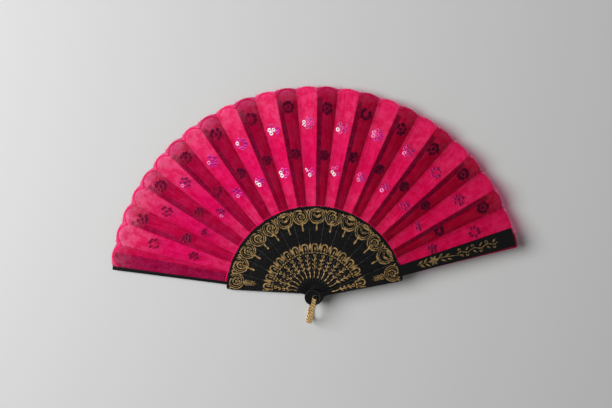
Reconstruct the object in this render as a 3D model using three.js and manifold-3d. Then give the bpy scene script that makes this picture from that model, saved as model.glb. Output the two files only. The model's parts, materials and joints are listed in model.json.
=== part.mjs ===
// Folding hand fan, shown open: black sticks between two guards, a pleated leaf,
// a rivet through the heads and a hanging loop.
// Millimetres, +Z up. The rivet's axis is Z, and its lower head stands on z = 0.
// +Y runs from the rivet to the middle of the open leaf.

import * as THREE from 'three';
import { mergeVertices } from 'three/addons/utils/BufferGeometryUtils.js';
import Module from 'manifold-3d';

const wasm = await Module();
wasm.setup();

// Opening of the fan, in degrees
const innerSticks = 12;
const stickPitch = 11.64; // between neighbouring inner sticks
const guardPitchRatio = 1.1; // a guard opens this much further from the stick beside it

// Stack of sticks along the rivet
const stickThickness = 0.9;
const stickGap = 0.3;
const guardThickness = 2.6;
const guardRelief = 0.3; // taken off a guard's inner face where the leaf lies
const guardBevel = 0.4;

// Outline that all sticks share up to the leaf
const tailLength = 11;
const headRadius = 8.4;
const headShoulderAngle = 38; // degrees above the head's widest line, where the neck begins
const neckHalfWidth = 2.6;
const neckRadius = 16; // distance from the rivet
const paddleRadius = 95;
const paddleHalfWidth = 10.9;
const paddleCorner = 3.2;

// Blades under the leaf: they leave the paddle beside its axis and drift to one side
const bladeLength = 115; // beyond the paddle
const bladeThickness = 0.4;
const bladeRise = 0.25; // above the paddle's lower face
const bladeRootHalfWidth = 2.3;
const bladeTipHalfWidth = 2.6;
const bladeRootShift = 0.5;
const bladeTipShift = 1.8;
const bladeRootInset = 12; // length fused into the paddle
const bladeTipCorner = 1.2;

// Guard blades
const guardBladeLength = 123.4; // beyond the paddle
const guardRootHalfWidth = 5.75;
const guardTipHalfWidth = 9.85;
const guardTipCorner = 1.4;

// Leaf
const leafGap = 0.6; // from the paddles' ends
const leafWidth = 125.4;
const scallopDepth = 2.6;
const clothThickness = 0.25;
const glueGap = 0.05;
const creaseGap = 0.3;
const panelTilt = 15; // degrees between a glued panel and its stick's blade
const creaseBeyondBlade = 0.9; // from a blade's tip edge to the crease beside it, at the tip
const leafStart = 1.5; // degrees that the first panel reaches past the back guard's axis
const leafEnd = 3.2; // degrees that the last panel reaches past the front guard's axis

// Rivet and loop
const rivetRadius = 1.5;
const rivetHeadRadius = 3.2;
const rivetHeadHeight = 0.9;
const rivetEdge = 0.25;
const rivetClearance = 0.08;
const capRadius = 2.1;
const capHeight = 0.9;
const capRimHeight = 0.36; // below the dome
const capSeatDepth = 0.45;
const loopGap = 0.15;
const loopThickness = 1.2;
const loopLength = 31.1; // from the rivet's axis
const loopEyeRadius = 2.2;
const loopEndHalfWidth = 2.9;
const loopHeading = 164.7; // degrees from +Y, counterclockwise

// Facets
const roundSteps = 24;
const outlineSteps = 7;
const scallopSteps = 8;
const innerEdgeSteps = 3;
const bendSteps = 12;
const mergeDistance = 1e-4;
const cutMargin = 1; // that one cutting block reaches past the other
const halvings = 60; // rounds in which a crease is found

const black = { color: 0x141313, roughness: 0.42, metalness: 0 };
const pink = { color: 0xd8145c, roughness: 0.75, metalness: 0 };
const gold = { color: 0xc79a3e, roughness: 0.32, metalness: 1 };

// Places that follow from the sizes above
const radians = THREE.MathUtils.degToRad;
const degrees = THREE.MathUtils.radToDeg;
const lastStick = innerSticks + 1;
const bladeTipRadius = paddleRadius + bladeLength;
const guardTipRadius = paddleRadius + guardBladeLength;
const leafInnerRadius = paddleRadius + leafGap;
const leafRadius = leafInnerRadius + leafWidth;
const guardPitch = stickPitch * guardPitchRatio;
const stackPitch = stickThickness + stickGap;
const loopLowerBase = rivetHeadHeight + loopGap;
const backGuardBase = loopLowerBase + loopThickness + loopGap;
const firstStickBase = backGuardBase + guardThickness + stickGap;
const frontGuardBase = firstStickBase + innerSticks * stackPitch;
const loopUpperBase = frontGuardBase + guardThickness + loopGap;
const capBase = loopUpperBase + loopThickness + loopGap;
const holeRadius = rivetRadius / Math.cos(Math.PI / roundSteps) + rivetClearance;

// Degrees that a stick opens from the one before it
function pitchBefore(number) {
  return number === 1 || number === lastStick ? guardPitch : stickPitch;
}

// A stick's heading, counterclockwise from +Y
function heading(number) {
  let angle = guardPitch + (stickPitch * (innerSticks - 1)) / 2;
  for (let passed = 1; passed <= number; passed += 1) {
    angle -= pitchBefore(passed);
  }
  return angle;
}

function baseOf(number) {
  if (number === 0) return backGuardBase;
  return firstStickBase + (number - 1) * stackPitch;
}

// A point at a radius, turned counterclockwise from a stick's own axis, which is +Y
function polar(radius, angle) {
  return new THREE.Vector2(-radius * Math.sin(radians(angle)), radius * Math.cos(radians(angle)));
}

function toSolid(geometry) {
  const bare = geometry.clone();
  bare.deleteAttribute('normal');
  bare.deleteAttribute('uv');
  const merged = mergeVertices(bare, mergeDistance);
  return new wasm.Manifold(new wasm.Mesh({
    numProp: 3,
    vertProperties: new Float32Array(merged.attributes.position.array),
    triVerts: new Uint32Array(merged.index.array),
  }));
}

function toGeometry(solid) {
  const mesh = solid.getMesh();
  const geometry = new THREE.BufferGeometry();
  geometry.setAttribute('position', new THREE.BufferAttribute(mesh.vertProperties, 3));
  geometry.setIndex(new THREE.BufferAttribute(mesh.triVerts, 1));
  geometry.computeVertexNormals();
  return geometry;
}

function rivetHole() {
  return new THREE.Path().absarc(0, 0, holeRadius, 0, 2 * Math.PI, true);
}

// Round head, drawn-in neck and a paddle that widens to a rounded end
function paddleOutline() {
  const sideSlope = (paddleHalfWidth - neckHalfWidth) / (paddleRadius - neckRadius);
  const headCentre = headRadius - tailLength;
  const shoulder = radians(headShoulderAngle);
  const headEnd = new THREE.Vector2(
    headRadius * Math.cos(shoulder),
    headCentre + headRadius * Math.sin(shoulder),
  );
  const sideAt = (y) => neckHalfWidth + sideSlope * (y - neckRadius);
  const reach = (headEnd.x - sideAt(headEnd.y))
    / (Math.sin(shoulder) + sideSlope * Math.cos(shoulder));
  const neckPull = new THREE.Vector2(
    headEnd.x - reach * Math.sin(shoulder),
    headEnd.y + reach * Math.cos(shoulder),
  );
  const corner = new THREE.Vector2(paddleHalfWidth, Math.sqrt(paddleRadius ** 2 - paddleHalfWidth ** 2));
  const sideEnd = corner.y - paddleCorner;
  const arcStart = Math.atan2(corner.y, corner.x) + paddleCorner / paddleRadius;
  const arcEnd = Math.PI - arcStart;
  const outline = new THREE.Shape();
  outline.absarc(0, headCentre, headRadius, Math.PI - shoulder, 2 * Math.PI + shoulder, false);
  outline.quadraticCurveTo(neckPull.x, neckPull.y, neckHalfWidth, neckRadius);
  outline.lineTo(sideAt(sideEnd), sideEnd);
  outline.quadraticCurveTo(
    corner.x,
    corner.y,
    paddleRadius * Math.cos(arcStart),
    paddleRadius * Math.sin(arcStart),
  );
  outline.absarc(0, 0, paddleRadius, arcStart, arcEnd, false);
  outline.quadraticCurveTo(-corner.x, corner.y, -sideAt(sideEnd), sideEnd);
  outline.lineTo(-neckHalfWidth, neckRadius);
  outline.quadraticCurveTo(-neckPull.x, neckPull.y, -headEnd.x, headEnd.y);
  outline.holes.push(rivetHole());
  return outline;
}

// Strip from inside the paddle to the tip, with a width and a side shift at the root and the tip
function bladeOutline({ tipRadius, rootHalf, tipHalf, rootShift, tipShift, corner }) {
  const length = tipRadius - paddleRadius;
  const start = paddleRadius - bladeRootInset;
  const half = (y) => rootHalf + ((tipHalf - rootHalf) * (y - paddleRadius)) / length;
  const middle = (y) => -(rootShift + ((tipShift - rootShift) * (y - paddleRadius)) / length);
  const right = (y) => middle(y) + half(y);
  const left = (y) => middle(y) - half(y);
  const cornerStart = tipRadius - corner;
  const outline = new THREE.Shape();
  outline.moveTo(left(start), start);
  outline.lineTo(right(start), start);
  outline.lineTo(right(cornerStart), cornerStart);
  outline.quadraticCurveTo(right(tipRadius), tipRadius, right(tipRadius) - corner, tipRadius);
  outline.lineTo(left(tipRadius) + corner, tipRadius);
  outline.quadraticCurveTo(left(tipRadius), tipRadius, left(cornerStart), cornerStart);
  return outline;
}

function plate(outline, thickness, base) {
  const geometry = new THREE.ExtrudeGeometry(outline, {
    depth: thickness,
    bevelEnabled: false,
    curveSegments: outlineSteps,
  });
  geometry.translate(0, 0, base);
  return toSolid(geometry);
}

function bevelledPlate(outline, thickness, base) {
  const geometry = new THREE.ExtrudeGeometry(outline, {
    depth: thickness - 2 * guardBevel,
    bevelEnabled: true,
    bevelThickness: guardBevel,
    bevelSize: guardBevel,
    bevelOffset: -guardBevel,
    bevelSegments: 1,
    curveSegments: outlineSteps,
  });
  geometry.translate(0, 0, base + guardBevel);
  return toSolid(geometry);
}

function stickGeometry() {
  const paddle = plate(paddleOutline(), stickThickness, 0);
  const blade = plate(bladeOutline({
    tipRadius: bladeTipRadius,
    rootHalf: bladeRootHalfWidth,
    tipHalf: bladeTipHalfWidth,
    rootShift: bladeRootShift,
    tipShift: bladeTipShift,
    corner: bladeTipCorner,
  }), bladeThickness, bladeRise);
  return toGeometry(paddle.add(blade));
}

// A guard's blade is thinner than its paddle on the face that meets the leaf
function guardGeometry(bladeBase) {
  const paddle = bevelledPlate(paddleOutline(), guardThickness, 0);
  const blade = bevelledPlate(bladeOutline({
    tipRadius: guardTipRadius,
    rootHalf: guardRootHalfWidth,
    tipHalf: guardTipHalfWidth,
    rootShift: 0,
    tipShift: 0,
    corner: guardTipCorner,
  }), guardThickness - guardRelief, bladeBase);
  return toGeometry(paddle.add(blade));
}

// The edge of a stick's blade that its panel turns on, as a distance left of the stick's axis
const hingeRootShift = bladeRootShift - bladeRootHalfWidth;
const hingeTipShift = bladeTipShift - bladeTipHalfWidth;
const hingeSkew = Math.atan((hingeTipShift - hingeRootShift) / bladeLength);

function leftOfHinge(point) {
  const along = (point.y - paddleRadius) / bladeLength;
  const hinge = hingeRootShift + (hingeTipShift - hingeRootShift) * along;
  return (-point.x - hinge) * Math.cos(hingeSkew);
}

// Height of a glued panel's middle above z = 0, at a point in its stick's frame
function panelLevel(number) {
  const clothHalf = glueGap + clothThickness / 2;
  if (number === 0) return backGuardBase + guardThickness - guardRelief + clothHalf;
  if (number === lastStick) return frontGuardBase + guardRelief - clothHalf;
  return baseOf(number) + bladeRise + bladeThickness + clothHalf;
}

function panelHeight(number, point) {
  const flat = number === 0 || number === lastStick;
  const slope = flat ? 0 : Math.tan(radians(panelTilt));
  return panelLevel(number) + slope * leftOfHinge(point);
}

// Where a panel's crease lies once the closed fan has pressed the panel flat, in degrees
function flatCrease(number, angle) {
  if (number === 0 || number === lastStick) return angle;
  const point = polar(leafRadius, angle);
  const spread = leftOfHinge(point) * (1 / Math.cos(radians(panelTilt)) - 1);
  return angle + degrees(spread / leafRadius);
}

// Width of the loose fold after a stick, at the rim, open and closed. Its creases are the
// right edge of the panel before it and the left edge of the panel after it.
function foldWidthOpen(number, right, left) {
  const across = radians(pitchBefore(number + 1) + right - left) * leafRadius;
  const rise = panelHeight(number + 1, polar(leafRadius, left))
    - panelHeight(number, polar(leafRadius, right));
  return Math.hypot(across, rise);
}

function foldWidthClosed(number, right, left) {
  const turn = flatCrease(number + 1, left) - flatCrease(number, right);
  const rise = panelLevel(number + 1) - panelLevel(number);
  return Math.hypot(radians(turn) * leafRadius, rise);
}

// The crease angle at which cloth cut for the open fan also fits the closed one
function evenCrease(difference, low, high) {
  let from = low;
  let to = high;
  const rising = difference(high) > difference(low);
  for (let round = 0; round < halvings; round += 1) {
    const middle = (from + to) / 2;
    if ((difference(middle) > 0) === rising) {
      to = middle;
    } else {
      from = middle;
    }
  }
  return (from + to) / 2;
}

// Left crease of a panel: just past the blade's left edge at its tip
const leftCrease = degrees((bladeTipShift + bladeTipHalfWidth + creaseBeyondBlade) / bladeTipRadius);
const slack = (number, right, left) => foldWidthOpen(number, right, left)
  - foldWidthClosed(number, right, left);
const rightCrease = evenCrease((right) => slack(1, right, leftCrease), -stickPitch, 0);
const firstRightCrease = evenCrease((right) => slack(0, right, leftCrease), -guardPitch, 0);
const lastLeftCrease = evenCrease((left) => slack(innerSticks, rightCrease, left), 0, guardPitch);

function creasesOf(number) {
  if (number === 0) return { left: leafStart, right: firstRightCrease };
  if (number === lastStick) return { left: lastLeftCrease, right: -leafEnd };
  return { left: leftCrease, right: rightCrease };
}

// Cloth between two angles: a plain inner edge and one scallop on the rim
function clothOutline(left, right) {
  const middle = (left + right) / 2;
  const inset = (radius) => degrees(creaseGap / 2 / radius);
  const across = (radius, share) => {
    const half = (left - right) / 2 - inset(radius);
    return polar(radius, middle + half * (1 - 2 * share));
  };
  const outline = [];
  for (let step = 0; step <= innerEdgeSteps; step += 1) {
    outline.push(across(leafInnerRadius, step / innerEdgeSteps));
  }
  for (let step = scallopSteps; step >= 0; step -= 1) {
    const share = step / scallopSteps;
    const radius = leafRadius - scallopDepth * (1 - Math.sin(Math.PI * share));
    outline.push(across(radius, share));
  }
  return outline;
}

// Closed sheet over an outline, of even upright thickness, with its height set at each point
function clothGeometry(outline, heightAt) {
  const count = outline.length;
  const positions = [];
  for (const side of [0.5, -0.5]) {
    for (const point of outline) {
      positions.push(point.x, point.y, heightAt(point) + side * clothThickness);
    }
  }
  const index = [];
  for (const [a, b, c] of THREE.ShapeUtils.triangulateShape(outline, [])) {
    index.push(a, b, c, c + count, b + count, a + count);
  }
  for (let here = 0; here < count; here += 1) {
    const next = (here + 1) % count;
    index.push(here, here + count, next, next, here + count, next + count);
  }
  const geometry = new THREE.BufferGeometry();
  geometry.setAttribute('position', new THREE.Float32BufferAttribute(positions, 3));
  geometry.setIndex(index);
  geometry.computeVertexNormals();
  return geometry;
}

function panelGeometry(number) {
  const { left, right } = creasesOf(number);
  return clothGeometry(clothOutline(left, right), (point) => panelHeight(number, point));
}

// The loose fold climbs from its stick's panel to the panel of the next stick
function foldGeometry(number) {
  const { right } = creasesOf(number);
  const nextLeft = creasesOf(number + 1).left;
  const left = nextLeft - pitchBefore(number + 1);
  const heightAt = (point) => {
    const radius = point.length();
    const angle = degrees(Math.atan2(-point.x, point.y));
    const share = (right - angle) / (right - left);
    const low = panelHeight(number, polar(radius, right));
    const high = panelHeight(number + 1, polar(radius, nextLeft));
    return low + (high - low) * share;
  };
  return clothGeometry(clothOutline(right, left), heightAt);
}

function turned(profile) {
  const points = profile.map(([radius, height]) => new THREE.Vector2(radius, height));
  const geometry = new THREE.LatheGeometry(points, roundSteps);
  geometry.rotateX(Math.PI / 2);
  return geometry;
}

function rivetGeometry() {
  return turned([
    [0, 0],
    [rivetHeadRadius - rivetEdge, 0],
    [rivetHeadRadius, rivetEdge],
    [rivetHeadRadius, rivetHeadHeight],
    [rivetRadius, rivetHeadHeight],
    [rivetRadius, capBase + capSeatDepth - rivetClearance],
    [0, capBase + capSeatDepth - rivetClearance],
  ]);
}

// Domed cap that seats on the rivet's upper end
function capGeometry() {
  const profile = [
    [0, capBase + capSeatDepth],
    [holeRadius, capBase + capSeatDepth],
    [holeRadius, capBase],
    [capRadius, capBase],
  ];
  for (let step = 0; step <= outlineSteps; step += 1) {
    const angle = (step / outlineSteps) * (Math.PI / 2);
    profile.push([
      capRadius * Math.cos(angle),
      capBase + capRimHeight + (capHeight - capRimHeight) * Math.sin(angle),
    ]);
  }
  return turned(profile);
}

// Strap bent to a U round the heads. Its side view and its plan meet in one solid.
function loopGeometry() {
  const top = loopUpperBase + loopThickness;
  const bendOuter = (top - loopLowerBase) / 2;
  const bendInner = bendOuter - loopThickness;
  const bendCentre = loopLength - bendOuter;
  const middle = (top + loopLowerBase) / 2;
  const side = new THREE.Shape();
  side.moveTo(-loopEyeRadius, loopLowerBase);
  side.lineTo(bendCentre, loopLowerBase);
  side.absarc(bendCentre, middle, bendOuter, -Math.PI / 2, Math.PI / 2, false);
  side.lineTo(-loopEyeRadius, top);
  side.lineTo(-loopEyeRadius, top - loopThickness);
  side.lineTo(bendCentre, top - loopThickness);
  side.absarc(bendCentre, middle, bendInner, Math.PI / 2, -Math.PI / 2, true);
  side.lineTo(-loopEyeRadius, loopLowerBase + loopThickness);
  const sideBlock = new THREE.ExtrudeGeometry(side, {
    depth: 2 * (loopEndHalfWidth + cutMargin),
    bevelEnabled: false,
    curveSegments: bendSteps,
  });
  sideBlock.translate(0, 0, -loopEndHalfWidth - cutMargin);
  sideBlock.rotateX(Math.PI / 2);
  sideBlock.rotateZ(Math.PI / 2);
  const plan = new THREE.Shape();
  plan.absarc(0, 0, loopEyeRadius, Math.PI, 2 * Math.PI, false);
  plan.lineTo(loopEndHalfWidth, loopLength + cutMargin);
  plan.lineTo(-loopEndHalfWidth, loopLength + cutMargin);
  plan.holes.push(rivetHole());
  return toGeometry(toSolid(sideBlock).intersect(plate(plan, top + cutMargin, 0)));
}

function mesh(name, geometry, finish) {
  const part = new THREE.Mesh(geometry, new THREE.MeshStandardMaterial(finish));
  part.name = name;
  return part;
}

const twoDigits = (number) => String(number).padStart(2, '0');

function stickMesh(number) {
  if (number === 0) return mesh('back_guard', guardGeometry(0), black);
  if (number === lastStick) return mesh('front_guard', guardGeometry(guardRelief), black);
  return mesh(`stick_${twoDigits(number)}`, stickGeometry(), black);
}

const fan = new THREE.Group();
for (let number = 0; number <= lastStick; number += 1) {
  const turnedGroup = new THREE.Group();
  turnedGroup.rotation.z = radians(heading(number));
  const stick = stickMesh(number);
  stick.position.z = baseOf(number);
  turnedGroup.add(stick);
  turnedGroup.add(mesh(`leaf_panel_${twoDigits(number)}`, panelGeometry(number), pink));
  if (number < lastStick) {
    turnedGroup.add(mesh(`leaf_fold_${twoDigits(number)}`, foldGeometry(number), pink));
  }
  fan.add(turnedGroup);
}

const loop = mesh('hanging_loop', loopGeometry(), gold);
loop.rotation.z = radians(loopHeading);
fan.add(loop);
fan.add(mesh('rivet', rivetGeometry(), gold));
fan.add(mesh('rivet_cap', capGeometry(), gold));

export default fan;
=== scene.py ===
import json
import math

import bmesh
import bpy
import numpy as np
from mathutils import Matrix, Vector

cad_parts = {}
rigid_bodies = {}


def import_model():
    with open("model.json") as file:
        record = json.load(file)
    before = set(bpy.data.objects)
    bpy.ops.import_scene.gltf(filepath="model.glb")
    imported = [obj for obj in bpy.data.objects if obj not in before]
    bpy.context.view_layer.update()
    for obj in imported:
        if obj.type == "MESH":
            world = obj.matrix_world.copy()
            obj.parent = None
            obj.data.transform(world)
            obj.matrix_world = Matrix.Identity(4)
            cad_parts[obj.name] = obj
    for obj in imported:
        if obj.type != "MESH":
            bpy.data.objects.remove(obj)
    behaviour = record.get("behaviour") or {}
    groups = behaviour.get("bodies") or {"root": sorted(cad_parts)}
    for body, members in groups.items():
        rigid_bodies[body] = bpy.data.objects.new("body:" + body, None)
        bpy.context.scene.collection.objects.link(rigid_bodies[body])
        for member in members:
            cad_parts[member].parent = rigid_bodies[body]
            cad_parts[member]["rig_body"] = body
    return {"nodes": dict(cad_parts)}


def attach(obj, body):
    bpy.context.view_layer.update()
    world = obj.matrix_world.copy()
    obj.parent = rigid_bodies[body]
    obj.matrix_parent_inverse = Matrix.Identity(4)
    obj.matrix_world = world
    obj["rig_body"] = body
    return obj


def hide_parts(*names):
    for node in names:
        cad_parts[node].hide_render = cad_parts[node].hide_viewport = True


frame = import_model()
nodes = frame["nodes"]
scene = bpy.context.scene
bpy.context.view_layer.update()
print("frame loaded")

# lengths are in millimetres until a mesh is written, as in the CAD
mm = 0.001
sticks = {
    "inner": 12, "pitch": 11.64, "guardPitch": 12.804,
    "firstBase": 5.3, "step": 1.2, "paddleTop": 0.9, "clothLevel": 0.825,
    "backTop": 5.0, "backCloth": 4.875, "frontTop": 22.3, "frontCloth": 19.825,
}
leaf = {
    "inner": 95.6, "rim": 221.0, "tilt": 15.0, "columns": 24, "rows": 84,
    "left": 1.446, "right": -4.4158, "firstLeft": 1.5, "firstRight": -4.9456, "lastLeft": 1.9725, "lastRight": -3.2,
    "hingeRoot": -1.8, "hingeTip": -0.8, "hingeFrom": 95.0, "hingeLength": 115.0,
    "crease": 0.55, "creaseShare": 0.25, "scallop": 2.6, "scallopLeft": 0.95, "scallopLess": 0.5,
}
wrinkles = {
    "soft": 0.16, "until": 0.74, "broad": 0.15, "broadStep": 8.7, "fine": 0.07, "fineStep": 3.3,
    "outerFrom": 150, "outerOver": 70, "outerMore": 0.6,
}
sag = {
    "first": 1.02, "firstUntil": 205, "firstOver": 105, "firstPower": 1.2,
    "inner": 0.62, "until": 175, "over": 75,
}
lastStick = sticks["inner"] + 1


def isGuard(k):
    return k in (0, lastStick)


def heading(k):
    edge = sticks["pitch"] * (sticks["inner"] - 1) / 2
    if k == 0:
        return edge + sticks["guardPitch"]
    if k == lastStick:
        return -edge - sticks["guardPitch"]
    return edge - sticks["pitch"] * (k - 1)


def stickBody(k):
    if k == 0:
        return "back_guard"
    return "front_guard" if k == lastStick else "stick_%02d" % k


def stickTop(k):
    if k == 0:
        return sticks["backTop"]
    if k == lastStick:
        return sticks["frontTop"]
    return sticks["firstBase"] + sticks["step"] * (k - 1) + sticks["paddleTop"]


def creases(k):
    if k == 0:
        return leaf["firstLeft"], leaf["firstRight"]
    if k == lastStick:
        return leaf["lastLeft"], leaf["lastRight"]
    return leaf["left"], leaf["right"]


# height of panel k's cloth at radius r and angle a from its stick, both arrays
def panelHeight(k, r, a):
    if k == 0:
        return np.full(np.shape(r * a), sticks["backCloth"])
    if k == lastStick:
        return np.full(np.shape(r * a), sticks["frontCloth"])
    level = sticks["firstBase"] + sticks["step"] * (k - 1) + sticks["clothLevel"]
    lean = (leaf["hingeTip"] - leaf["hingeRoot"]) / leaf["hingeLength"]
    y = r * np.cos(a)
    hinge = leaf["hingeRoot"] + lean * (y - leaf["hingeFrom"])
    away = (r * np.sin(a) - hinge) * math.cos(math.atan(lean))
    return level + math.tan(math.radians(leaf["tilt"])) * away


# wrinkles at share s from the valley crease; both sides of a valley take the same ones, so they nest when closed
def wrinkle(k, s, r):
    rise = np.clip(s / wrinkles["soft"], 0, 1) * np.clip((wrinkles["until"] - s) / wrinkles["soft"], 0, 1)
    outer = np.clip((r - wrinkles["outerFrom"]) / wrinkles["outerOver"], 0, 1)
    broad = 0.5 + 0.5 * np.sin(r / wrinkles["broadStep"] + 2.4 * np.sin(r / 29 + k * 2.4) + 3.1 * s + k * 1.7)
    fine = 0.5 + 0.5 * np.sin(r / wrinkles["fineStep"] + 5.2 * s + 2.0 * np.sin(r / 13 + k))
    height = wrinkles["broad"] * broad + wrinkles["fine"] * fine
    return rise * rise * (3 - 2 * rise) * height * (1 + wrinkles["outerMore"] * outer)


# how far a fold's mountain edge drops near the paddles, which leaves room for the panel under it in the closed fan
def sagOf(k, r):
    if k == 0:
        return sag["first"] * np.clip((sag["firstUntil"] - r) / sag["firstOver"], 0, 1) ** sag["firstPower"]
    if k == lastStick - 1:
        return np.zeros(np.shape(r))
    return sag["inner"] * np.clip((sag["until"] - r) / sag["over"], 0, 1)


# points of one facet: share u runs from its left crease to its right one
def facetPoints(kind, k, u, r):
    left, right = creases(k)
    if kind == "panel":
        spread = right - left
        a = np.radians(left + spread * u)
        z = panelHeight(k, r, a) + wrinkle(k, 1 - u, r)
        mountain = u
    else:
        pitch = heading(k) - heading(k + 1)
        nextLeft = creases(k + 1)[0]
        spread = nextLeft - pitch - right
        a = np.radians(right + spread * u)
        low = panelHeight(k, r, np.radians(np.full(np.shape(u), right)))
        high = panelHeight(k + 1, r, np.radians(np.full(np.shape(u), nextLeft)))
        z = low + (high - low) * u - wrinkle(k, u, r) - sagOf(k, r) * u
        mountain = 1 - u
    width = math.radians(abs(spread)) * r
    z = z - leaf["crease"] * leaf["creaseShare"] * np.exp(-mountain * width / leaf["crease"])
    turn = math.radians(heading(k))
    x, y = -r * np.sin(a + turn), r * np.cos(a + turn)
    return np.stack([x, y, z], -1)


# a facet's own upward direction, from three points near its middle
def facetNormal(kind, k):
    grid = facetPoints(kind, k, np.array([0.3, 0.7, 0.3]), np.array([190.0, 190.0, 200.0]))
    normal = np.cross(grid[1] - grid[0], grid[2] - grid[0])
    return normal / np.linalg.norm(normal) * (1 if normal[2] > 0 else -1)


def newMesh(name, points, faces):
    data = bpy.data.meshes.new(name)
    data.from_pydata((np.asarray(points, float).reshape(-1, 3) * mm).tolist(), [], faces)
    data.validate()
    made = bpy.data.objects.new(name, data)
    scene.collection.objects.link(made)
    return made


def addValues(made, name, values):
    layer = made.data.attributes.new(name, "FLOAT", "POINT")
    layer.data.foreach_set("value", np.asarray(values, np.float32).ravel())


def smooth(made):
    made.data.polygons.foreach_set("use_smooth", [True] * len(made.data.polygons))


def meshPoints(made):
    points = np.zeros(len(made.data.vertices) * 3)
    made.data.vertices.foreach_get("co", points)
    return points.reshape(-1, 3) / mm


def gridFaces(rows, columns):
    wide = columns + 1
    return [(j * wide + i, (j + 1) * wide + i, (j + 1) * wide + i + 1, j * wide + i + 1)
            for j in range(rows) for i in range(columns)]


# shader maths: one socket that Python arithmetic joins to others
class Wire:
    def __init__(self, tree, socket):
        self.tree, self.socket = tree, socket

    def node(self, kind, inputs, out=0, **settings):
        made = self.tree.nodes.new("ShaderNode" + kind)
        for key, value in settings.items():
            setattr(made, key, value)
        for key, value in inputs.items():
            if isinstance(value, Wire):
                self.tree.links.new(value.socket, made.inputs[key])
            else:
                made.inputs[key].default_value = value
        return Wire(self.tree, made.outputs[out])

    def math(self, operation, *values):
        return self.node("Math", dict(enumerate(values)), operation=operation)

    def __add__(self, other):
        return self.math("ADD", self, other)

    __radd__ = __add__

    def __sub__(self, other):
        return self.math("SUBTRACT", self, other)

    def __rsub__(self, other):
        return self.math("SUBTRACT", other, self)

    def __mul__(self, other):
        return self.math("MULTIPLY", self, other)

    __rmul__ = __mul__

    def __pow__(self, other):
        return self.math("POWER", self, other)

    def sin(self):
        return self.math("SINE", self)

    def axis(self, index):
        return self.node("SeparateXYZ", {"Vector": self}, out=index)

    def noise(self, scale, detail, roughness):
        return self.node("TexNoise", {"Vector": self, "Scale": scale, "Detail": detail, "Roughness": roughness})

    # rises smoothly from 0 at the low value to 1 at the high one
    def step(self, low, high):
        return self.node("MapRange", {"Value": self, "From Min": low, "From Max": high},
                         interpolation_type="SMOOTHSTEP")

    # the colour a where this value is 0 and b where it is 1
    def mix(self, a, b):
        return self.node("Mix", {0: self, 6: a, 7: b}, out=2, data_type="RGBA")


# a material with a Principled shader, and the wire its maths starts from
def newMaterial(name):
    material = bpy.data.materials.new(name)
    material.use_nodes = True
    tree = material.node_tree
    shader = next(n for n in tree.nodes if n.type == "BSDF_PRINCIPLED")
    place = Wire(tree, tree.nodes.new("ShaderNodeTexCoord").outputs["Object"])
    return material, shader, place


def setInputs(place, shader, **values):
    for key, value in values.items():
        socket = shader.inputs[key.replace("_", " ")]
        if isinstance(value, Wire):
            place.tree.links.new(value.socket, socket)
        else:
            socket.default_value = value


def attribute(place, name):
    return place.node("Attribute", {}, out=2, attribute_name=name)


def bump(place, height, strength, distance):
    return place.node("Bump", {"Height": height, "Strength": strength, "Distance": distance})


# the pink cloth: fine weave, a dyed see-through share, paler towards a frayed rim as painted light, with painted
# shade on the panels, in the valleys and on the right; pitches are in millimetres
cloth = {
    "bright": (0.97, 0.004, 0.172, 1), "deep": (0.85, 0.002, 0.112, 1), "pale": (1.0, 0.23, 0.40, 1),
    "shadedCrimson": (0.60, 0.0003, 0.018, 1), "shade": (0.18, 0.0002, 0.006, 1), "strip": (0.100, 0.002, 0.044, 1),
    "through": (1.0, 0.045, 0.31, 1), "clear": 0.42, "clearRim": 0.14, "clearBeyond": 0.16,
    "lustre": 0.27, "specular": 0.04, "roughness": 0.46, "warp": 0.55, "weft": 0.62,
    "blotchScale": 125.0, "streakScale": 420.0, "tornScale": 900.0, "torn": 1.7, "bump": (0.35, 0.0003),
    "threadStretch": (0.62, 0.045, 7.3), "puckerStretch": (0.3, 0.34, 3.1),
}


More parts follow.
